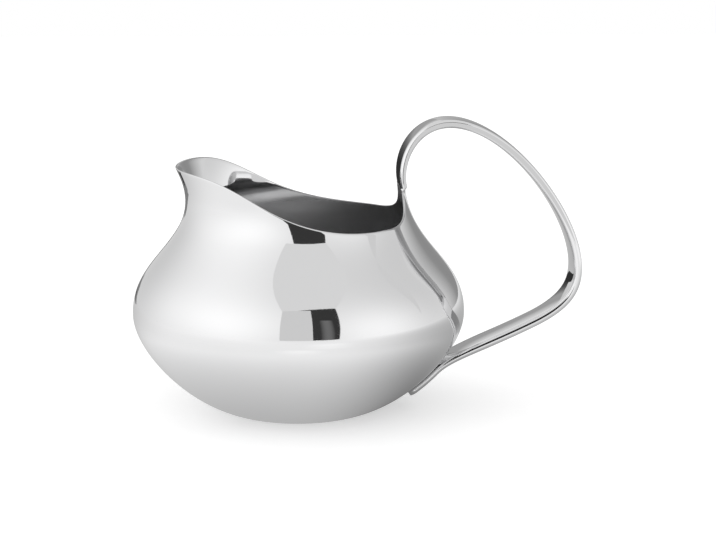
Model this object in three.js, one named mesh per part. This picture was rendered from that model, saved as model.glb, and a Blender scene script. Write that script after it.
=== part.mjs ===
import * as THREE from "three";

// Sizes in millimetres. X runs from the lip to the handle, Z is up, the origin is the middle of the flat base
const sheet = 1.2;
const seam = 1.0;
const facets = 72;

const baseRadius = 29;
const bellyRadius = 91.5;
const bellyHeight = 56;
const basePull = 28;
const bowlPull = 20;

const neckRadius = 58.3;
const neckHeight = 132;
const shoulderPull = 30;
const neckPull = 40;

const lipReach = 67;
const lipHeight = 137;
const lipPull = 40;
const lipCrest = 2.6;
const rimHeight = 107.9;
const rimPull = 63.2;
const rimLevelX = 40.5;
const flareStart = 102;

const tongueTop = 124.4;
const tongueWidth = 31;
const tongueSweep = 27;
const tongueWeld = 1.4;

const barWidth = 22;
const barThickness = 4.4;
const barEndThickness = 3.3;
const barFootThickness = 3.3;
const barCorner = 1.3;
const handleTop = 162.2;
const handleTopX = 82.5;
const handleReach = 156.3;
const handleReachZ = 79;
const handleLean = 3.2;
const armX = 130;
const armZ = 48.9;
const armSlope = 0.49;
const footInset = 17.5;
const footLength = 14.5;
const footWeld = 0.9;

// Point on a cubic curve through p[0] and p[3], pulled towards p[1] and p[2]
function cubic(p, t) {
  const u = 1 - t;
  const k = [u * u * u, 3 * u * u * t, 3 * u * t * t, t * t * t];
  const x = k.reduce((sum, w, i) => sum + w * p[i][0], 0);
  const z = k.reduce((sum, w, i) => sum + w * p[i][1], 0);
  return new THREE.Vector2(x, z);
}

// Direction of the cubic curve at t
function heading(p, t) {
  const u = 1 - t;
  const k = [u * u, 2 * u * t, t * t];
  const x = k.reduce((sum, w, i) => sum + w * (p[i + 1][0] - p[i][0]), 0);
  const z = k.reduce((sum, w, i) => sum + w * (p[i + 1][1] - p[i][1]), 0);
  return new THREE.Vector2(x, z).normalize();
}

function smooth(from, to, x) {
  const t = THREE.MathUtils.clamp((x - from) / (to - from), 0, 1);
  return t * t * (3 - 2 * t);
}

// Parameter at which a rising coordinate of the curve reaches a value
function solve(p, axis, value) {
  const rising = p[3][axis] > p[0][axis];
  let low = 0;
  let high = 1;
  for (let i = 0; i < 50; i++) {
    const middle = (low + high) / 2;
    const reached = cubic(p, middle).getComponent(axis);
    if (reached < value === rising) low = middle;
    else high = middle;
  }
  return (low + high) / 2;
}

const bowlTop = bellyHeight - seam / 2;
const shoulderBottom = bellyHeight + seam / 2;
const bowlCurve = [
  [baseRadius, 0],
  [baseRadius + basePull, 0],
  [bellyRadius, bowlTop - bowlPull],
  [bellyRadius, bowlTop],
];
const neckCurve = [
  [bellyRadius, shoulderBottom],
  [bellyRadius, shoulderBottom + shoulderPull],
  [neckRadius, neckHeight - neckPull],
  [neckRadius, neckHeight],
];

// Surface through rings of points: round and back to the first ring, or closed at each end by a strip between
// the ring's two halves
function skin(rings, loop) {
  const n = rings[0].length;
  const position = rings.flat().flatMap((p) => [p.x, p.y, p.z]);
  const index = [];
  const last = loop ? rings.length : rings.length - 1;
  for (let i = 0; i < last; i++) {
    const a = i * n;
    const b = ((i + 1) % rings.length) * n;
    for (let k = 0; k < n; k++) {
      const m = (k + 1) % n;
      index.push(a + k, b + k, b + m, a + k, b + m, a + m);
    }
  }
  if (!loop) {
    const end = (rings.length - 1) * n;
    for (let k = 0; k < n / 2 - 1; k++) {
      const [a, b, c, d] = [k, k + 1, n - 2 - k, n - 1 - k];
      index.push(a, b, c, a, c, d);
      index.push(end + a, end + c, end + b, end + a, end + d, end + c);
    }
  }
  const geometry = new THREE.BufferGeometry();
  geometry.setAttribute("position", new THREE.Float32BufferAttribute(position, 3));
  geometry.setIndex(index);
  geometry.computeVertexNormals();
  return geometry;
}

// Solid of revolution about Z from a closed profile of (radius, height)
function revolve(profile) {
  return new THREE.LatheGeometry(profile, facets).rotateX(Math.PI / 2);
}

// Bowl: the outer curve up to the belly, the same curve one sheet further in on the way back
function bowlProfile() {
  const outside = [];
  const inside = [];
  const steps = 14;
  for (let i = 0; i <= steps; i++) {
    const p = cubic(bowlCurve, i / steps);
    const d = heading(bowlCurve, i / steps);
    outside.push(p);
    inside.push(new THREE.Vector2(p.x - d.y * sheet, p.y + d.x * sheet));
  }
  const middle = [new THREE.Vector2(0, 0)];
  return [...middle, ...outside, ...inside.reverse(), new THREE.Vector2(0, sheet)];
}

const girthProfile = [
  new THREE.Vector2(bellyRadius - sheet, bowlTop),
  new THREE.Vector2(bellyRadius, bowlTop),
  new THREE.Vector2(bellyRadius, shoulderBottom),
  new THREE.Vector2(bellyRadius - sheet, shoulderBottom),
  new THREE.Vector2(bellyRadius - sheet, bowlTop),
];

// Outer radius of shoulder and neck at a height, and how fast it changes
function shoulderRadius(z) {
  if (z >= neckHeight) return { radius: neckRadius, slope: 0 };
  const t = solve(neckCurve, 1, z);
  const d = heading(neckCurve, t);
  return { radius: cubic(neckCurve, t).x, slope: d.x / d.y };
}

// How much wider than round the front of the mouth is at a height
function flare(z) {
  const rise = Math.max(0, z - flareStart) / (lipHeight - flareStart);
  return 1 + (lipReach / neckRadius - 1) * rise * rise;
}

// Point of the upper shell at an angle from the handle and a height, at a depth into the sheet: the front
// half opens out towards the lip
function shellPoint(angle, z, depth) {
  const { radius, slope } = shoulderRadius(z);
  const back = smooth(-0.3, 0.3, Math.cos(angle));
  const grow = 1 + (flare(z) - 1) * (1 - back);
  const r = (radius - depth * Math.hypot(1, slope)) * grow;
  return new THREE.Vector3(r * Math.cos(angle), r * Math.sin(angle), z);
}

const wallAt = (z) => shoulderRadius(z).radius;

// Side view of the rim: level at the back, an easy fall from the lip
const rimCurve = [
  [-lipReach, lipHeight],
  [lipPull - lipReach, lipHeight + lipCrest],
  [rimLevelX - rimPull, rimHeight],
  [rimLevelX, rimHeight],
];

// Height of the rim at an angle, found where the shell meets the rim's side view
function rimAt(angle) {
  let z = rimHeight;
  for (let i = 0; i < 30; i++) {
    const { x } = shellPoint(angle, z, 0);
    z = cubic(rimCurve, solve(rimCurve, 0, x)).y;
  }
  return z;
}

// Angle at which the back of the shell is at a distance from the plane of symmetry
const angleAt = (across, z) => Math.asin(across / wallAt(z));

// Half of the rim as angle and height, from the middle of the tongue, down its sweep and round to the lip
function rimHalf() {
  const half = [];
  const y = tongueWidth / 2;
  for (let i = 0; i <= 4; i++) half.push([angleAt((y * i) / 4, tongueTop), tongueTop]);
  const drop = tongueTop - rimHeight;
  const sweep = 12;
  for (let i = 1; i <= sweep; i++) {
    const turn = (Math.PI / 2) * (i / sweep);
    const z = tongueTop - drop * Math.sin(turn);
    half.push([angleAt(y + tongueSweep * (1 - Math.cos(turn)), z), z]);
  }
  const from = half[half.length - 1][0];
  const steps = 28;
  for (let i = 1; i <= steps; i++) {
    const angle = from + ((Math.PI - from) * i) / steps;
    half.push([angle, rimAt(angle)]);
  }
  return half;
}

function upperShell() {
  const half = rimHalf();
  const mirrored = half.slice(1, -1).reverse();
  const rim = [...half, ...mirrored.map(([angle, z]) => [-angle, z])];
  const rows = 12;
  const rings = rim.map(([angle, top]) => {
    const step = (top - shoulderBottom) / rows;
    const heights = Array.from({ length: rows + 1 }, (_, j) => shoulderBottom + step * j);
    const inside = heights.map((z) => shellPoint(angle, z, sheet));
    const outside = heights.map((z) => shellPoint(angle, z, 0));
    return [...outside, ...inside.reverse()];
  });
  return skin(rings, true);
}

// Outline of a bar with rounded corners as points (across, through), its wide sides in a number of steps
function barSection(width, thickness, sideSteps) {
  const corner = Math.min(barCorner, thickness * 0.45);
  const flat = width / 2 - corner;
  const points = [];
  for (let k = 0; k < 4; k++) {
    const sx = k === 0 || k === 3 ? 1 : -1;
    const sy = k < 2 ? 1 : -1;
    for (let i = 0; i <= 3; i++) {
      const turn = (Math.PI / 2) * (k + i / 3);
      const through = sy * (thickness / 2 - corner) + corner * Math.sin(turn);
      points.push([sx * flat + corner * Math.cos(turn), through]);
    }
    if (k % 2) continue;
    for (let j = 1; j < sideSteps; j++) {
      points.push([sx * flat * (1 - (2 * j) / sideSteps), (sy * thickness) / 2]);
    }
  }
  return points.reverse();
}

// Where the middle line of the handle starts, tops out, reaches furthest and lands
const barStartX = wallAt(tongueTop) - barEndThickness / 2;
const barStartZ = tongueTop + tongueWeld;
const topZ = handleTop - barThickness / 2;
const reachX = handleReach - barThickness / 2;
const footStart = bellyRadius - footInset;
const footEnd = footStart - footLength;

// Place on the belly's underside at a radius, with the directions along it (inwards) and out of it
function underside(radius) {
  const t = solve(bowlCurve, 0, radius);
  const at = cubic(bowlCurve, t);
  const along = heading(bowlCurve, t).multiplyScalar(-1);
  return { at, along, out: new THREE.Vector2(-along.y, along.x) };
}

// Middle line of the handle in the plane of symmetry, with the bar's thickness and width at each point
function barLine() {
  const line = [];
  const add = (curve, steps, thickness, width = () => barWidth) => {
    for (let i = line.length ? 1 : 0; i <= steps; i++) {
      const t = i / steps;
      line.push({ at: cubic(curve, t), along: heading(curve, t), thickness: thickness(t), width: width(t) });
    }
  };
  const rise = topZ - barStartZ;
  add(
    [
      [barStartX, barStartZ],
      [barStartX - handleLean, barStartZ + rise * 0.46],
      [handleTopX - (handleTopX - barStartX) * 0.73, topZ],
      [handleTopX, topZ],
    ],
    14,
    (t) => barEndThickness + (barThickness - barEndThickness) * smooth(0, 1, t),
    (t) => tongueWidth + (barWidth - tongueWidth) * smooth(0, 1, t),
  );
  const fall = topZ - handleReachZ;
  const run = reachX - handleTopX;
  const full = () => barThickness;
  add(
    [
      [handleTopX, topZ],
      [handleTopX + run * 0.45, topZ],
      [reachX, handleReachZ + fall * 0.36],
      [reachX, handleReachZ],
    ],
    20,
    full,
  );
  const armPull = (reachX - armX) * 0.75;
  add(
    [
      [reachX, handleReachZ],
      [reachX, handleReachZ - (handleReachZ - armZ) * 0.42],
      [armX + armPull, armZ + armPull * armSlope],
      [armX, armZ],
    ],
    10,
    full,
  );
  const seat = footWeld + barFootThickness / 2;
  const first = underside(footStart);
  const landing = first.at.clone().addScaledVector(first.out, seat);
  const reach = armX - landing.x;
  add(
    [
      [armX, armZ],
      [armX - reach * 0.5, armZ - reach * 0.5 * armSlope],
      [landing.x - first.along.x * reach * 0.22, landing.y - first.along.y * reach * 0.22],
      [landing.x, landing.y],
    ],
    12,
    (t) => barThickness + (barFootThickness - barThickness) * smooth(0.3, 1, t),
  );
  const steps = 10;
  for (let i = 1; i <= steps; i++) {
    const spot = underside(footStart + ((footEnd - footStart) * i) / steps);
    const round = smooth(0.75, 1.1, i / steps);
    line.push({
      at: spot.at.clone().addScaledVector(spot.out, seat),
      along: spot.along,
      thickness: barFootThickness,
      width: barWidth * (1 - 0.35 * round * round),
    });
  }
  return line;
}

// Section of the bar as a ring of points square to its line
function barRing({ at, along, thickness, width }, sideSteps) {
  return barSection(width, thickness, sideSteps).map(
    ([across, through]) => new THREE.Vector3(at.x - along.y * through, across, at.y + along.x * through),
  );
}

// Weld between the tongue's curved top edge and the flat end of the bar
function tongueWeldRun(end) {
  const sideSteps = 8;
  const bottom = barSection(tongueWidth, sheet, sideSteps).map(([across, through]) =>
    shellPoint(angleAt(across, tongueTop), tongueTop, sheet / 2 + through),
  );
  return skin([bottom, barRing(end, sideSteps)], false);
}

// Weld bed that fills the gap between the bowl's round underside and the flat face of the foot
function footWeldBed() {
  const rings = [];
  const width = barWidth - 5;
  const clear = 0.03;
  const steps = 8;
  for (let i = 0; i <= steps; i++) {
    const radius = footStart - 0.5 + ((footEnd + 3.5 - footStart) * i) / steps;
    const { at, out } = underside(radius);
    const bend = radius / out.x;
    const place = (across, lift) =>
      new THREE.Vector3(at.x + out.x * lift, across, at.y + out.y * lift);
    const ring = [];
    for (let k = 0; k <= 4; k++) {
      const across = width * (k / 4 - 0.5);
      ring.push(place(across, clear - (across * across) / (2 * bend)));
    }
    for (let k = 4; k >= 0; k--) ring.push(place(width * (k / 4 - 0.5), footWeld - clear));
    rings.push(ring.reverse());
  }
  return skin(rings, false);
}

const bar = barLine();
const steelColour = 0xc9cacb;
const weldColour = 0xbfc0c1;
const jug = new THREE.Group();
jug.name = "jug";

function addPiece(name, geometry, colour, roughness) {
  const material = new THREE.MeshStandardMaterial({ color: colour, metalness: 1, roughness });
  material.name = name + "_steel";
  const mesh = new THREE.Mesh(geometry, material);
  mesh.name = name;
  jug.add(mesh);
}

addPiece("lower_bowl", revolve(bowlProfile()), steelColour, 0.06);
addPiece("girth_weld", revolve(girthProfile), weldColour, 0.1);
addPiece("upper_shell", upperShell(), steelColour, 0.06);
addPiece("tongue_weld", tongueWeldRun(bar[0]), weldColour, 0.1);
addPiece("handle", skin(bar.map((spot) => barRing(spot, 1)), false), steelColour, 0.06);
addPiece("foot_weld", footWeldBed(), weldColour, 0.25);

export default jug;
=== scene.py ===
import math

import bpy
import numpy as np
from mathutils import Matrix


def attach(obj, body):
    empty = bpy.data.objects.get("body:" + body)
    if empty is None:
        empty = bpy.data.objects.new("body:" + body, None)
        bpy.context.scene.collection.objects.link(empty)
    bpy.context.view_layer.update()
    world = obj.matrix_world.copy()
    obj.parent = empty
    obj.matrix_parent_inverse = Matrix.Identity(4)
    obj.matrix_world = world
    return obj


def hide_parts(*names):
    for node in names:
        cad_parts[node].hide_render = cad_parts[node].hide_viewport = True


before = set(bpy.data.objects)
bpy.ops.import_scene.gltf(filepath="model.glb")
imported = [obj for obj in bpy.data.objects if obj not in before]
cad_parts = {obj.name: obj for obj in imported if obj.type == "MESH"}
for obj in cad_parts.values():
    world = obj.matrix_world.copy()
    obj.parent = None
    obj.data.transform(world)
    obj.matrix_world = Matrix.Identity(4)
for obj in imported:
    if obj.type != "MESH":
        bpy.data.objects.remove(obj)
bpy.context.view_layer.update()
print("frame loaded, nodes:", len(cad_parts))

mm = 0.001
sharpFrom = math.radians(40)  # edges that turn by more than this stay sharp


# Shared curves and mesh making

def cubic(corners, t):
    # point on a cubic curve: four corners weighted by the terms of ((1 - t) + t) cubed
    t = np.asarray(t, float)[:, None]
    s = 1 - t
    p = np.asarray(corners, float)
    return s ** 3 * p[0] + 3 * s ** 2 * t * p[1] + 3 * s * t ** 2 * p[2] + t ** 3 * p[3]


def heading(corners, t):
    # unit direction of that curve: its polygon's sides weighted by the terms of ((1 - t) + t) squared
    t = np.asarray(t, float)[:, None]
    s = 1 - t
    side = np.diff(np.asarray(corners, float), axis=0)
    d = s ** 2 * side[0] + 2 * s * t * side[1] + t ** 2 * side[2]
    return d / np.linalg.norm(d, axis=1, keepdims=True)


def smooth(low, high, x):
    # eased step: three squares less two cubes of how far x is from low to high
    t = np.clip((x - low) / (high - low), 0, 1)
    return t * t * (3 - 2 * t)


def gridFaces(rows, columns, wrapRows, wrapColumns):
    # corner numbers of every quad between neighbouring rows and columns
    i = np.arange(rows if wrapRows else rows - 1)
    j = np.arange(columns if wrapColumns else columns - 1)
    i, j = (v.ravel() for v in np.meshgrid(i, j, indexing="ij"))
    ni, nj = (i + 1) % rows, (j + 1) % columns
    return np.stack([i * columns + j, ni * columns + j, ni * columns + nj, i * columns + nj], 1)


def linked(name, data):
    made = bpy.data.objects.new(name, data)
    bpy.context.scene.collection.objects.link(made)
    return made


def makePiece(name, points, faces, extraFaces=(), inside=None):
    # inside is 1 where the sheet faces the liquid and 0 on the outer face
    mesh = bpy.data.meshes.new(name)
    corners = (points.reshape(-1, 3) * mm).tolist()
    mesh.from_pydata(corners, [], faces.tolist() + [list(f) for f in extraFaces])
    mesh.shade_smooth()
    mesh.set_sharp_from_angle(angle=sharpFrom)
    if inside is not None:
        facing = mesh.attributes.new("inside", "FLOAT", "POINT")
        facing.data.foreach_set("value", np.ravel(inside).astype("f"))
    return linked(name, mesh)


def turned(name, profile, columns, inside):
    # profile of (radius, height) turned about Z; ends on the axis close with a fan
    profile = np.asarray(profile, float)
    onAxis = profile[0, 0] == 0
    ring = profile[1:-1] if onAxis else profile
    angle = np.linspace(0, 2 * np.pi, columns, endpoint=False)[:, None]
    x, y = ring[:, 0] * np.cos(angle), ring[:, 0] * np.sin(angle)
    points = np.stack([x, y, ring[:, 1] + 0 * angle], -1).reshape(-1, 3)
    faces = gridFaces(columns, len(ring), True, not onAxis)
    facing = np.tile(inside[1:-1] if onAxis else inside, columns)
    fans = []
    if onAxis:
        n, first = len(ring), len(points)
        points = np.concatenate([points, [[0, 0, profile[0, 1]], [0, 0, profile[-1, 1]]]])
        facing = np.concatenate([facing, inside[:1], inside[-1:]])
        k = np.arange(columns)
        after = (k + 1) % columns
        below = np.stack([k * 0 + first, after * n, k * n], 1)
        above = np.stack([k * 0 + first + 1, k * n + n - 1, after * n + n - 1], 1)
        fans = np.concatenate([below, above]).tolist()
    return makePiece(name, points, faces, fans, facing)


# Bowl: flat base, one cubic curve out and up to the belly, and the same curve one sheet further in
bowl = {
    "sheet": 1.2, "seam": 1.0, "baseRadius": 29, "basePull": 28, "bowlPull": 20,
    "bellyRadius": 91.5, "bellyHeight": 56, "columns": 360, "steps": 90, "baseSteps": 8,
}
sheet = bowl["sheet"]
bowlTop = bowl["bellyHeight"] - bowl["seam"] / 2
shoulderBottom = bowl["bellyHeight"] + bowl["seam"] / 2
bowlCurve = np.array([
    [bowl["baseRadius"], 0],
    [bowl["baseRadius"] + bowl["basePull"], 0],
    [bowl["bellyRadius"], bowlTop - bowl["bowlPull"]],
    [bowl["bellyRadius"], bowlTop],
])


def makeBowl():
    # outer profile is the cubic; the inner one is moved in by the sheet along the curve's normal
    t = 0.5 - 0.5 * np.cos(np.linspace(0, np.pi, bowl["steps"]))
    outside = cubic(bowlCurve, t)
    d = heading(bowlCurve, t)
    inner = outside + sheet * np.stack([-d[:, 1], d[:, 0]], 1)
    flat = np.linspace(0, bowl["baseRadius"], bowl["baseSteps"])[:-1]
    below = np.stack([flat, 0 * flat], 1)
    above = np.stack([flat, 0 * flat + sheet], 1)
    half = len(below) + len(outside)
    profile = np.concatenate([below, outside, inner[::-1], above[::-1]])
    return turned("bowlSkin", profile, bowl["columns"], np.repeat([0.0, 1.0], half))


def makeGirth():
    # flush ring of weld metal between the two shells
    out, inn = bowl["bellyRadius"], bowl["bellyRadius"] - sheet
    radius = np.array([inn, out, out, out, inn, inn])
    level = np.array([0, 0, 0.5, 1, 1, 0.5]) * bowl["seam"] + bowlTop
    return turned("girthRun", np.stack([radius, level], 1), bowl["columns"], (radius < out) * 1.0)


# Shoulder, neck, lip and tongue: a turned curve, opened out in front
neck = {
    "radius": 58.3, "height": 132, "shoulderPull": 30, "neckPull": 40, "lipReach": 67, "lipHeight": 137,
    "lipPull": 40, "lipCrest": 2.6, "rimHeight": 107.9, "rimPull": 63.2, "rimLevelX": 40.5,
    "flareStart": 102, "flareBlend": 0.3,
    "rows": 90, "rowCrowding": 1.6, "rimSteps": 150, "rimTurns": 40, "edgeSteps": 9,
}
tongue = {
    "top": 124.4, "width": 31, "sweep": 27, "weld": 1.4, "bead": 0.25, "beadFrom": 0.4,
    "levelSteps": 16, "sweepSteps": 44, "weldSteps": 13,
}
neckCurve = np.array([
    [bowl["bellyRadius"], shoulderBottom],
    [bowl["bellyRadius"], shoulderBottom + neck["shoulderPull"]],
    [neck["radius"], neck["height"] - neck["neckPull"]],
    [neck["radius"], neck["height"]],
])
rimCurve = np.array([
    [-neck["lipReach"], neck["lipHeight"]],
    [neck["lipPull"] - neck["lipReach"], neck["lipHeight"] + neck["lipCrest"]],
    [neck["rimLevelX"] - neck["rimPull"], neck["rimHeight"]],
    [neck["rimLevelX"], neck["rimHeight"]],
])
stations = np.linspace(0, 1, 6000)  # fine steps for looking up places on a curve
neckPoints = cubic(neckCurve, stations)
neckWay = heading(neckCurve, stations)
rimPoints = cubic(rimCurve, stations)


def shoulderRadius(z):
    # radius of the turned curve at a height, and its change with height
    radius = np.interp(z, neckPoints[:, 1], neckPoints[:, 0])
    slope = np.interp(z, neckPoints[:, 1], neckWay[:, 0] / neckWay[:, 1])
    return radius, np.where(z >= neck["height"], 0, slope)


def shellPoint(angle, z, depth):
    # turned point, whose front half grows with the square of the height above the flare's start
    radius, slope = shoulderRadius(z)
    cos, sin = np.cos(angle), np.sin(angle)
    back = smooth(-neck["flareBlend"], neck["flareBlend"], cos)
    rise = np.maximum(0, z - neck["flareStart"]) / (neck["lipHeight"] - neck["flareStart"])
    grow = 1 + (neck["lipReach"] / neck["radius"] - 1) * rise ** 2 * (1 - back)
    r = (radius - depth * np.hypot(1, slope)) * grow
    return np.stack(np.broadcast_arrays(r * cos, r * sin, z), -1)


def angleAt(across, z):
    # angle about Z of a point of the turned shell that lies this far to the side
    return np.arcsin(across / shoulderRadius(z)[0])


def rimAt(angle):
    # height at which the shell meets the rim's side view, a cubic curve, found by going back and forth
    z = neck["rimHeight"] + 0 * angle
    for turn in range(neck["rimTurns"]):
        z = np.interp(shellPoint(angle, z, 0)[:, 0], rimPoints[:, 0], rimPoints[:, 1])
    return z


def rimHalf():
    # angle and height of half the rim: level on the tongue, a quarter ellipse down its side, the rim
    half = tongue["width"] / 2
    level = np.linspace(0, half, tongue["levelSteps"])[:-1]
    turn = np.linspace(0, np.pi / 2, tongue["sweepSteps"])
    zSweep = tongue["top"] - (tongue["top"] - neck["rimHeight"]) * np.sin(turn)
    aSweep = angleAt(half + tongue["sweep"] * (1 - np.cos(turn)), zSweep)
    aRest = np.linspace(aSweep[-1], np.pi, neck["rimSteps"])[1:]
    angle = np.concatenate([angleAt(level, tongue["top"] + 0 * level), aSweep, aRest])
    return angle, np.concatenate([tongue["top"] + 0 * level, zSweep, rimAt(aRest)])


def makeShoulder():
    # each column of the grid goes up the outside, round the rim's half circle and down the inside
    angle, top = rimHalf()
    angle = np.concatenate([angle, -angle[-2:0:-1]])[:, None]
    top = np.concatenate([top, top[-2:0:-1]])[:, None]
    edge = sheet / 2
    rise = np.linspace(0, 1, neck["rows"])[None] ** neck["rowCrowding"]
    up = shoulderBottom + (top - edge - shoulderBottom) * rise
    turn = np.linspace(0, np.pi, neck["edgeSteps"])[None, 1:-1]
    over = top - edge + edge * np.sin(turn)
    z = np.concatenate([up, over, up[:, ::-1]], 1)
    depth = np.concatenate([0 * rise, edge * (1 - np.cos(turn)), 0 * rise + sheet], 1)
    points = shellPoint(angle, z, depth)
    faces = gridFaces(points.shape[0], points.shape[1], True, True)
    return makePiece("shoulderSkin", points, faces, (), np.repeat(depth / sheet, len(angle), 0))


# Handle: a flat bar with round sides carried along four cubic curves and the underside of the bowl
handle = {
    "width": 22, "thickness": 4.4, "endThickness": 3.3, "footThickness": 3.3,
    "corner": 2.0, "cornerShare": 0.45, "crown": 0.18,
    "top": 162.2, "topX": 82.5, "reach": 156.3, "reachZ": 79, "lean": 3.2,
    "armX": 130, "armZ": 48.9, "armSlope": 0.49, "footInset": 17.5, "footLength": 14.5, "footWeld": 0.9,
    "thinFrom": 0.3, "bluntFrom": 0.75, "bluntTo": 1.1, "bluntBy": 0.35,
    "steps": 90, "footSteps": 60, "cornerSteps": 7, "faceSteps": 13,
}
# how far the four curves' inner corners lie along their ends' directions, as shares of rise, run or fall
pulls = {
    "rise": 0.46, "crest": 0.73, "over": 0.45, "reach": 0.36, "turn": 0.42, "arm": 0.75, "leave": 0.5,
    "land": 0.22,
}
startX = shoulderRadius(np.array([tongue["top"]]))[0][0] - handle["endThickness"] / 2
startZ = tongue["top"] + tongue["weld"]
footStart = bowl["bellyRadius"] - handle["footInset"]
footEnd = footStart - handle["footLength"]


def underside(radius):
    # place on the bowl's outside at a radius, the way inwards along it and the way out of it
    t = np.interp(radius, cubic(bowlCurve, stations)[:, 0], stations)
    along = -heading(bowlCurve, t)
    return cubic(bowlCurve, t), along, np.stack([-along[:, 1], along[:, 0]], 1)


def barCurves(seat):
    # corners of the four cubic curves: up and over, down to the furthest reach, round to the arm,
    # and along the arm to the bowl
    h, p = handle, pulls
    topX, topZ, reachZ = h["topX"], h["top"] - h["thickness"] / 2, h["reachZ"]
    reachX, armX, armZ, slope = h["reach"] - h["thickness"] / 2, h["armX"], h["armZ"], h["armSlope"]
    rise, run, fall = topZ - startZ, reachX - topX, topZ - reachZ
    landing, along, out = (v[0] for v in underside(np.array([footStart])))
    landing = landing + out * seat
    arm = armX - landing[0]
    meet, leave = (reachX - armX) * p["arm"], arm * p["leave"]
    return [
        [[startX, startZ], [startX - h["lean"], startZ + rise * p["rise"]],
         [topX - (topX - startX) * p["crest"], topZ], [topX, topZ]],
        [[topX, topZ], [topX + run * p["over"], topZ],
         [reachX, reachZ + fall * p["reach"]], [reachX, reachZ]],
        [[reachX, reachZ], [reachX, reachZ - (reachZ - armZ) * p["turn"]],
         [armX + meet, armZ + meet * slope], [armX, armZ]],
        [[armX, armZ], [armX - leave, armZ - leave * slope],
         landing - along * arm * p["land"], landing],
    ]


def barLine():
    # stations along the bar's middle: place and heading in XZ, thickness, width and crown
    h = handle
    seat = h["footWeld"] + h["footThickness"] / 2
    t = np.linspace(0, 1, h["steps"] + 1)
    foot = np.linspace(0, 1, h["footSteps"] + 1)[1:]
    spot, along, out = underside(footStart + (footEnd - footStart) * foot)
    runs = [(c, t if k == 0 else t[1:]) for k, c in enumerate(barCurves(seat))]
    place = np.concatenate([cubic(c, u) for c, u in runs] + [spot + out * seat])
    way = np.concatenate([heading(c, u) for c, u in runs] + [along])
    ease, thin, blunt = np.ones(len(place)), np.zeros(len(place)), np.zeros(len(place))
    footFrom = len(place) - len(foot)
    ease[:len(t)] = smooth(0, 1, t)  # from the tongue's size to the bar's
    thin[footFrom - h["steps"]:footFrom] = smooth(h["thinFrom"], 1, t[1:])
    thin[footFrom:] = 1
    blunt[footFrom:] = smooth(h["bluntFrom"], h["bluntTo"], foot)
    thickness = h["endThickness"] + (h["thickness"] - h["endThickness"]) * ease
    thickness = thickness + (h["footThickness"] - h["thickness"]) * thin
    width = tongue["width"] + (h["width"] - tongue["width"]) * ease
    width = width * (1 - h["bluntBy"] * blunt ** 2)
    return place, way, thickness, width, h["crown"] * ease * (1 - thin)


def barSection(width, thickness, crown):
    # rounded rectangle: four quarter circles on the corners of a smaller one, its wide sides in steps;
    # it swells towards its middle by the crown times one less the square of the way out
    corner = np.minimum(handle["corner"], thickness * handle["cornerShare"])[:, None]
    flat = width[:, None] / 2 - corner
    turn = np.linspace(0, np.pi / 2, handle["cornerSteps"])
    step = np.linspace(1, -1, handle["faceSteps"])[1:-1]
    across, through = [], []
    for k, (sx, sy) in enumerate([(1, 1), (-1, 1), (-1, -1), (1, -1)]):
        across.append(sx * flat + corner * np.cos(turn + k * np.pi / 2))
        through.append(sy * (thickness[:, None] / 2 - corner) + corner * np.sin(turn + k * np.pi / 2))
        if k % 2 == 0:
            across.append(sx * flat * step)
            through.append(sy * thickness[:, None] / 2 + 0 * step)
    across, through = np.concatenate(across, 1)[:, ::-1], np.concatenate(through, 1)[:, ::-1]
    return across, through * (1 + crown[:, None] * (1 - (2 * across / width[:, None]) ** 2))


def barRings(place, way, thickness, width, crown):
    # the section carried along the bar, its width along Y and its thickness square to the heading
    across, through = barSection(width, thickness, crown)
    x, z = place[:, :1] - way[:, 1:] * through, place[:, 1:] + way[:, :1] * through
    return np.stack([x, across, z], -1)


def closedBar(name, rings):
    # grid of rings with one face across each end
    n, m = rings.shape[:2]
    ends = [list(range(m)), list(range(n * m - 1, n * m - m - 1, -1))]
    return makePiece(name, rings, gridFaces(n, m, False, True), ends)


def makeHandle():
    return closedBar("handleBar", barRings(*barLine()))


def makeTongueRun():
    # loft from the tongue's curved top edge to the bar's end, with a bead that swells by a half sine
    barEnd = [v[:1] for v in barLine()]
    t = np.linspace(0, 1, tongue["weldSteps"])[:, None]
    across, through = barSection(np.array([tongue["width"]]), np.array([sheet]), np.zeros(1))
    level = tongue["top"] + 0 * across[0]
    lower = shellPoint(angleAt(across[0], level), level, sheet / 2 + through[0])
    upper = barRings(*barEnd)[0]
    rings = lower * (1 - t[:, :, None]) + upper * t[:, :, None]
    wideFace = np.sign(through) * (abs(through) > tongue["beadFrom"] * sheet)
    rings[:, :, 0] -= wideFace * tongue["bead"] * np.sin(np.pi * t)
    return closedBar("tongueRun", rings)


# Bed of weld metal over the foot, set in from the foot's ends and sides
footBed = {"startInset": 0.5, "endInset": 3, "narrower": 5, "clear": 0.03, "rows": 40, "columns": 17}


def makeFootRun():
    # bed between the bowl's round underside and the flat face of the foot, as bent across as the bowl is
    b = footBed
    radius = np.linspace(footStart - b["startInset"], footEnd + b["endInset"], b["rows"])
    place, _, out = underside(radius)
    across = np.linspace(-0.5, 0.5, b["columns"]) * (handle["width"] - b["narrower"])
    lift = b["clear"] - across ** 2 / (2 * (radius / out[:, 0])[:, None])
    side = np.concatenate([across, across[::-1]]) + 0 * radius[:, None]
    high = np.concatenate([lift, 0 * lift + handle["footWeld"] - b["clear"]], 1)
    rings = np.stack([place[:, :1] + out[:, :1] * high, side, place[:, 1:] + out[:, 1:] * high], -1)
    return closedBar("footRun", rings[:, ::-1])


pieces = {
    "lower_bowl": makeBowl(),
    "girth_weld": makeGirth(),
    "upper_shell": makeShoulder(),
    "handle": makeHandle(),
    "tongue_weld": makeTongueRun(),
    "foot_weld": makeFootRun(),
}
for node, piece in pieces.items():
    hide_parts(node)
    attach(piece, "root")
print("pieces made:", ", ".join(f"{p.name} {len(p.data.polygons)}" for p in pieces.values()))


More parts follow.
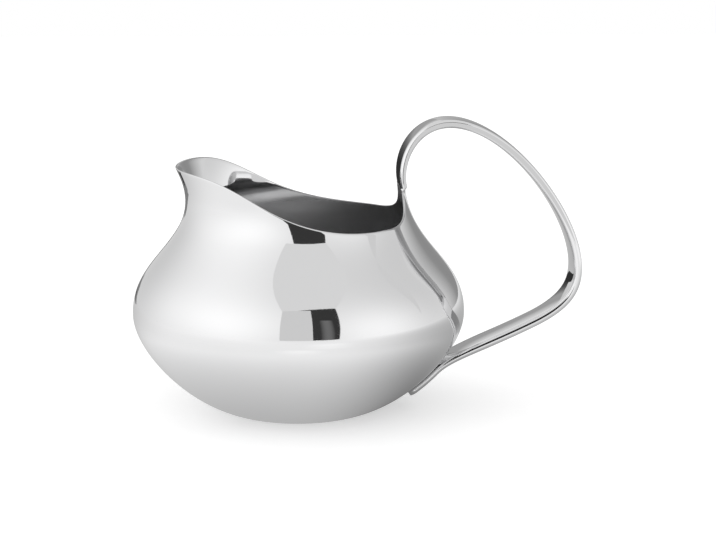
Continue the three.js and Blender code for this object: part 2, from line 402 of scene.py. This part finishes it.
# Materials
class Wire:
    # one socket of a shader, so that its maths reads as a formula
    def __init__(self, tree, socket=None):
        self.tree, self.socket = tree, socket

    def node(self, kind, settings, values, out=0):
        # any node: its settings first, then values or links for its sockets; gives one of its outputs
        made = self.tree.nodes.new(kind)
        for key, value in settings.items():
            setattr(made, key, value)
        for key, value in values.items():
            if isinstance(value, Wire):
                self.tree.links.new(value.socket, made.inputs[key])
            else:
                made.inputs[key].default_value = value
        return Wire(self.tree, made.outputs[out] if len(made.outputs) else None)

    def objectPlace(self):
        return self.node("ShaderNodeTexCoord", {}, {}, "Object")

    def along(self, axis):
        return self.node("ShaderNodeSeparateXYZ", {}, {0: self}, axis)

    def maths(self, operation, a, b):
        return self.node("ShaderNodeMath", {"operation": operation}, {0: a, 1: b})

    def eased(self, low, high, start, end):
        # smooth step from start to end while this socket goes from low to high
        values = {0: self, 1: low, 2: high, 3: start, 4: end}
        return self.node("ShaderNodeMapRange", {"interpolation_type": "SMOOTHSTEP"}, values)

    def mixed(self, share, first, second):
        # colour that goes from first to second as share goes from 0 to 1
        return self.node("ShaderNodeMix", {"data_type": "RGBA"}, {0: share, 6: first, 7: second}, 2)

    def vector(self, operation, other):
        return self.node("ShaderNodeVectorMath", {"operation": operation}, {0: self, 1: other}, "Value")

    def __add__(self, other):
        return self.maths("ADD", self, other)

    def __sub__(self, other):
        return self.maths("SUBTRACT", self, other)

    def __rsub__(self, other):
        return self.maths("SUBTRACT", other, self)

    def __mul__(self, other):
        return self.maths("MULTIPLY", self, other)

    __radd__, __rmul__ = __add__, __mul__


def newMaterial(name):
    material = bpy.data.materials.new(name)
    material.use_nodes = True
    material.node_tree.nodes.clear()
    return material, Wire(material.node_tree)


def grey(value):
    return (value, value, value, 1)


polish = {
    "colour": (0.87, 0.87, 0.875), "cloud": 0.015, "rough": 0.03, "roughCloud": 0.04, "hairline": 0.006,
}
ground = {
    "colour": (0.84, 0.84, 0.845), "cloud": 0.03, "rough": 0.12, "roughCloud": 0.08, "hairline": 0.04,
}
# dark colour of the weld bed under the foot: painted shade in the crevice between the foot and the bowl
creviceShade = {
    "colour": (0.3, 0.3, 0.305), "cloud": 0.05, "rough": 0.4, "roughCloud": 0.1, "hairline": 0.04,
}
lining = {
    "colour": (0.76, 0.76, 0.765), "rough": 0.3,
    # the dark colour and its X and Z ranges are painted shade on the upper inner wall towards the handle
    "paintedShadeColour": (0.26, 0.26, 0.264), "paintedShadeX": (-0.035, 0.045), "paintedShadeZ": (0.06, 0.09),
    "lipColour": (0.87, 0.87, 0.875), "lipRough": 0.01, "lipX": (0.0, 0.04), "lipZ": (0.104, 0.114),
}
clouds = {"Scale": 28.0, "Detail": 4.0}
hairs = {"Scale": 900.0, "Detail": 3.0}
hairDepth = 0.0004


def steel(name, finish, inner=None):
    # polish with faint clouds and hairlines; where a piece has an inside, that is a mirror in the lip and
    # satin below it, with painted shade darkening the upper inner wall towards the handle
    material, wire = newMaterial(name)
    place = wire.objectPlace()
    cloud = wire.node("ShaderNodeTexNoise", {}, {"Vector": place, **clouds})
    fine = wire.node("ShaderNodeTexNoise", {}, {"Vector": place, **hairs})
    dim = [c * (1 - finish["cloud"] * 2) for c in finish["colour"]]
    colour = wire.mixed(cloud, (*dim, 1), (*finish["colour"], 1))
    rough = finish["rough"] + cloud * fine * finish["roughCloud"]
    if inner:
        inside = wire.node("ShaderNodeAttribute", {"attribute_name": "inside"}, {}, "Fac")
        x, z = place.along("X"), place.along("Z")
        lip = x.eased(*inner["lipX"], 1.0, 0.0) * z.eased(*inner["lipZ"], 0.0, 1.0)
        # painted shade: darker towards the handle and up the inner wall
        paintedShade = x.eased(*inner["paintedShadeX"], 0.0, 1.0) * z.eased(*inner["paintedShadeZ"], 0.0, 1.0)
        satinWithShade = wire.mixed(paintedShade, (*inner["colour"], 1), (*inner["paintedShadeColour"], 1))
        colour = wire.mixed(inside, colour, wire.mixed(lip, satinWithShade, (*inner["lipColour"], 1)))
        rough = rough + inside * (inner["rough"] + lip * (inner["lipRough"] - inner["rough"]))
    dents = {"Strength": finish["hairline"], "Distance": hairDepth, "Height": fine}
    bump = wire.node("ShaderNodeBump", {}, dents)
    values = {"Base Color": colour, "Metallic": 1.0, "Roughness": rough, "Normal": bump}
    shader = wire.node("ShaderNodeBsdfPrincipled", {}, values)
    wire.node("ShaderNodeOutputMaterial", {}, {"Surface": shader})
    return material


polishedSteel = steel("polishedSteel", polish, lining)
groundWeld = steel("groundWeld", ground)
# the foot's weld bed carries the painted crevice shade
shadedFootWeld = steel("shadedFootWeld", creviceShade)
finishes = {"tongue_weld": groundWeld, "foot_weld": shadedFootWeld}
for node, piece in pieces.items():
    piece.data.materials.append(finishes.get(node, polishedSteel))
print("materials made")


# Studio: white floor, a surround that is brightest at both sides, and cards that only the metal sees
studio = {"floor": 0.86, "floorReach": 3, "lift": 0.42, "base": 0.86, "ceiling": 1.15}
glows = [
    {"way": (-0.91, 0, 0.42), "sharp": 3, "amount": 0.17},
    {"way": (-0.68, -0.68, 0.26), "sharp": 5, "amount": 0.21},
    {"way": (0.85, -0.49, 0.17), "sharp": 5, "amount": 0.25},
    {"way": (0.93, 0.16, 0.34), "sharp": 5, "amount": -0.16},
    {"way": (0.48, -0.13, 0.87), "sharp": 4, "amount": -0.12},
    {"way": (-0.48, 0.84, 0.26), "sharp": 4, "amount": -0.15},
    {"way": (0, 0.94, 0.34), "sharp": 3, "amount": -0.12},
]
# painted shadow of the jug on the floor as the metal sees it: dark in the middle, lighter out to a ring
shade = {
    "middle": 0.4, "ring": 0.95, "ringEnd": 0.17, "far": 0.1, "farFrom": 0.2, "farTo": 0.8,
    "way": (-0.57, -0.82, 0), "darkSide": 0.42, "litFrom": 0.8, "fadeFrom": 0.05, "fadeTo": 1.0,
}
# painted light and shade on that floor: two bright spots in front and a painted shadow spot by the
# handle's foot
spots = [
    {"at": (-0.004, -0.225, 0), "reach": 0.07, "amount": 0.1},
    {"at": (0.108, -0.368, 0), "reach": 0.13, "amount": 0.14},
    {"at": (0.075, -0.04, 0), "reach": 0.09, "amount": -0.12},
]


def standing(x0, x1, y, z0, z1):
    return [(x0, y, z0), (x1, y, z0), (x1, y, z1), (x0, y, z1)]


def lying(x0, x1, y0, y1, z):
    return [(x0, y0, z), (x1, y0, z), (x1, y1, z), (x0, y1, z)]


def floorShade(wire):
    # the floor as the metal sees it, with the jug's shadow painted on: dark under the jug and rising away
    # from it, darker on the side away from the light, with two painted spots of light and one painted
    # shadow spot;
    # and how far it has faded into the surround
    place = wire.objectPlace()
    away = place.vector("LENGTH", (0, 0, 0))
    rise = away.eased(0.0, shade["ringEnd"], shade["middle"], shade["ring"])
    rise = rise + away.eased(shade["farFrom"], shade["farTo"], 0.0, shade["far"])
    cosine = wire.maths("DIVIDE", place.vector("DOT_PRODUCT", shade["way"]), away + mm)
    light = rise * cosine.eased(-1.0, shade["litFrom"], shade["darkSide"], 1.0)
    for spot in spots:
        off = place.vector("DISTANCE", spot["at"])
        light = light + off.eased(0.0, spot["reach"], spot["amount"], 0.0)
    return light, away.eased(shade["fadeFrom"], shade["fadeTo"], 0.0, 1.0)


def makeFloor():
    # matt to all but mirrored rays, with a lift to white for the camera; mirrored rays see its shade
    reach = studio["floorReach"]
    mesh = bpy.data.meshes.new("floor")
    mesh.from_pydata(lying(-reach, reach, -reach, reach, 0), [], [[0, 1, 2, 3]])
    floor = linked("floor", mesh)
    material, wire = newMaterial("paleFloor")
    matt = wire.node("ShaderNodeBsdfDiffuse", {}, {"Color": grey(studio["floor"])})
    seen = wire.node("ShaderNodeLightPath", {}, {}, "Is Camera Ray")
    mirrored = wire.node("ShaderNodeLightPath", {}, {}, "Is Glossy Ray")
    lift = wire.node("ShaderNodeEmission", {}, {"Color": seen * studio["lift"]})
    direct = wire.node("ShaderNodeAddShader", {}, {0: matt, 1: lift})
    light, faded = floorShade(wire)
    glow = wire.node("ShaderNodeEmission", {}, {"Color": light})
    clear = wire.node("ShaderNodeBsdfTransparent", {}, {})
    image = wire.node("ShaderNodeMixShader", {}, {0: faded, 1: glow, 2: clear})
    both = wire.node("ShaderNodeMixShader", {}, {0: mirrored, 1: direct, 2: image})
    wire.node("ShaderNodeOutputMaterial", {}, {"Surface": both})
    mesh.materials.append(material)


def makeWorld():
    # white to the camera; to the rest a base with glows, each a power of the cosine from its direction
    world = bpy.data.worlds.new("surround")
    world.use_nodes = True
    world.node_tree.nodes.clear()
    wire = Wire(world.node_tree)
    place = wire.objectPlace()
    seen = wire.node("ShaderNodeLightPath", {}, {}, "Is Camera Ray")
    light = studio["base"]
    for glow in glows:
        cosine = place.vector("DOT_PRODUCT", glow["way"])
        lobe = wire.maths("POWER", wire.maths("MAXIMUM", cosine, 0.0), glow["sharp"])
        light = light + glow["amount"] * lobe
    sky = wire.node("ShaderNodeBackground", {}, {"Color": seen + (1 - seen) * light})
    wire.node("ShaderNodeOutputWorld", {}, {"Surface": sky})
    bpy.context.scene.world = world


# Cards, in metres: a gap in the ceiling, the open front below it with a doorway and a light thing,
# what stands and lies behind the jug, and a dark and a pale strip close to the handle
ceiling = studio["ceiling"]
cards = {
    "ceilingGap": {
        "finish": "ceilingGrey", "glow": 0.76,
        "corners": [
            (-0.31, -1.2, ceiling), (0.55, -1.02, ceiling), (0.55, 0.4, ceiling), (-0.31, 0.4, ceiling),
        ],
    },
    "frontOpening": {
        "finish": "frontDark", "glow": 0.04,
        "corners": [(-0.16, -1.17, 0), (0.46, -1.02, 0), (0.55, -1.02, ceiling), (-0.13, -1.17, ceiling)],
    },
    "frontDoor": {
        "finish": "doorDark", "glow": 0.04, "corners": standing(0.22, 0.4, -1, 0, 0.6),
        "stripes": [{"axis": "X", "middle": 0.31, "half": 0.09, "amount": 0.12}],
    },
    "frontThing": {
        "finish": "frontGrey", "glow": 0.68, "corners": standing(-0.0225, 0.01, -0.13, 0.0573, 0.118),
    },
    "backWall": {
        "finish": "backGrey", "glow": 0.52,
        "corners": [(1.25, 0.54, 0), (0.1, 1.7, 0), (0.1, 1.7, 1.5), (1.25, 0.54, 1.5)],
        "stripes": [
            {"axis": "X", "middle": 0.66, "half": 0.5, "amount": -0.24},
            {"axis": "X", "middle": 1.25, "half": 0.45, "amount": 0.2},
        ],
    },
    "backBand": {
        "finish": "bandGrey", "glow": 0.36, "corners": standing(-0.35, 0.12, 1.65, 0, 0.85),
        "stripes": [
            {"axis": "Z", "middle": 0, "half": 0.3, "amount": -0.31},
            {"axis": "Z", "middle": 0.85, "half": 0.4, "amount": 0.5},
        ],
    },
    "backShadow": {
        "finish": "shadowGrey", "glow": 0.24,
        "corners": [(-0.3, 0.4, 0.004), (-0.05, 0.45, 0.004), (-0.05, 0.9, 0.004), (-0.4, 0.9, 0.004)],
    },
    "backPath": {
        "finish": "pathDark", "glow": 0.22,
        "corners": [(-0.26, 0.36, 0.006), (-0.17, 0.36, 0.006), (-0.4, 1.2, 0.006), (-0.55, 1.2, 0.006)],
    },
    "bellyLine": {"finish": "lineDark", "glow": 0.03, "corners": lying(-0.225, -0.15, 0.37, 0.47, 0.007)},
    "armShade": {
        "finish": "armDark", "glow": 0.02, "oneSided": True,
        "corners": [
            (0.146, -0.017, 0.0597), (0.074, -0.017, 0.0272),
            (0.074, -0.017, 0.033), (0.146, -0.017, 0.0655),
        ],
    },
    "backFloor": {
        "finish": "floorDark", "glow": 0.03,
        "corners": [
            (-0.13, 0.44, 0.005), (0.075, 0.44, 0.005), (0.12, 1.65, 0.005), (-0.36, 1.65, 0.005),
        ],
    },
    "handleFlag": {"finish": "flagPale", "glow": 0.69, "corners": standing(0.06, 0.2, -0.06, 0.09, 0.19)},
}


def glowing(plan):
    # plain glow, or one that changes along an axis by a parabola about each stripe's middle
    material, wire = newMaterial(plan["finish"])
    colour = plan["glow"]
    for stripe in plan.get("stripes", ()):
        off = (wire.objectPlace().along(stripe["axis"]) - stripe["middle"]) * (1 / stripe["half"])
        colour = colour + stripe["amount"] * wire.maths("MAXIMUM", 1 - off * off, 0.0)
    colour = colour if "stripes" in plan else grey(colour)
    glow = wire.node("ShaderNodeEmission", {}, {"Color": colour})
    if "oneSided" in plan:
        behind = wire.node("ShaderNodeNewGeometry", {}, {}, "Backfacing")
        clear = wire.node("ShaderNodeBsdfTransparent", {}, {})
        glow = wire.node("ShaderNodeMixShader", {}, {0: behind, 1: glow, 2: clear})
    wire.node("ShaderNodeOutputMaterial", {}, {"Surface": glow})
    return material


def makeCard(name, plan):
    # flat card through four corners, seen by reflections alone
    mesh = bpy.data.meshes.new(name)
    mesh.from_pydata(plan["corners"], [], [[0, 1, 2, 3]])
    mesh.materials.append(glowing(plan))
    card = linked(name, mesh)
    card.visible_camera = card.visible_diffuse = card.visible_shadow = False


makeFloor()
makeWorld()
for name, plan in cards.items():
    makeCard(name, plan)
print("studio made")


# Camera, fitted to the photograph's outline
view = {
    "azimuth": 1.5, "distance": 1.0, "height": 0.2755, "turn": 0.0328, "pitch": 0.1947,
    "focalPixels": 1842.7, "imagePixels": 716, "sensor": 36,
}


def makeCamera():
    data = bpy.data.cameras.new("camera")
    data.sensor_fit, data.sensor_width = "HORIZONTAL", view["sensor"]
    data.lens = view["focalPixels"] * view["sensor"] / view["imagePixels"]
    camera = linked("camera", data)
    a = math.radians(view["azimuth"])
    camera.location = (-view["distance"] * math.sin(a), -view["distance"] * math.cos(a), view["height"])
    camera.rotation_euler = (math.pi / 2 - view["pitch"], 0, -(a + view["turn"]))
    bpy.context.scene.camera = camera


makeCamera()
bpy.context.scene.view_settings.view_transform = "Standard"
